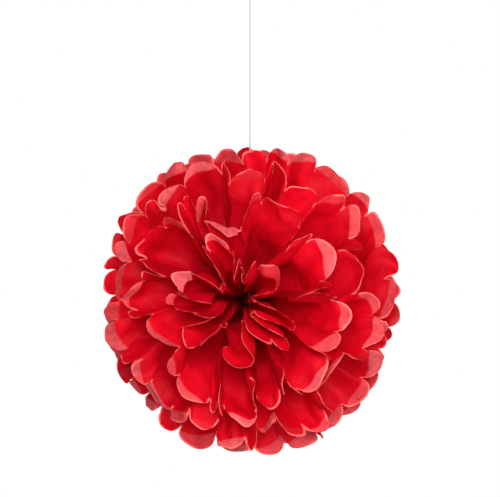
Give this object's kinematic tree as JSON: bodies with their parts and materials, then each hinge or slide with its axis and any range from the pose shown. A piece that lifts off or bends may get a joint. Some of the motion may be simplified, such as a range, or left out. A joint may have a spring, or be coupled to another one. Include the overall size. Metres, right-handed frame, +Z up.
{
  "type": "tissue paper pom pom",
  "caption": "Hanging ball decoration of pleated tissue paper sheets, tied at the middle, fanned open into scalloped petals and hung on a thin thread with a loop.",
  "frame": {"origin": "inner top of the hanging loop, where the hook touches it", "axes": "+Z up along the thread; the tied strip lies along X, with its two fans at -X and +X; the flower faces -Y and +Y"},
  "size_m": [0.2456, 0.2487, 0.4239],
  "materials": {
    "tissue_red": "thin dyed tissue, matt, lets light through",
    "tie_wire": "florist's wire, annealed black",
    "thread_white": "twisted cotton thread"
  },
  "bodies": {
    "root": {"sheet_1": "tissue_red", "sheet_2": "tissue_red", "sheet_3": "tissue_red", "sheet_4": "tissue_red", "sheet_5": "tissue_red", "sheet_6": "tissue_red", "sheet_7": "tissue_red", "sheet_8": "tissue_red", "tie_wire": "tie_wire", "hanging_thread": "thread_white", "loop_knot": "thread_white", "hanging_loop": "thread_white"}
  },
  "joints": []
}
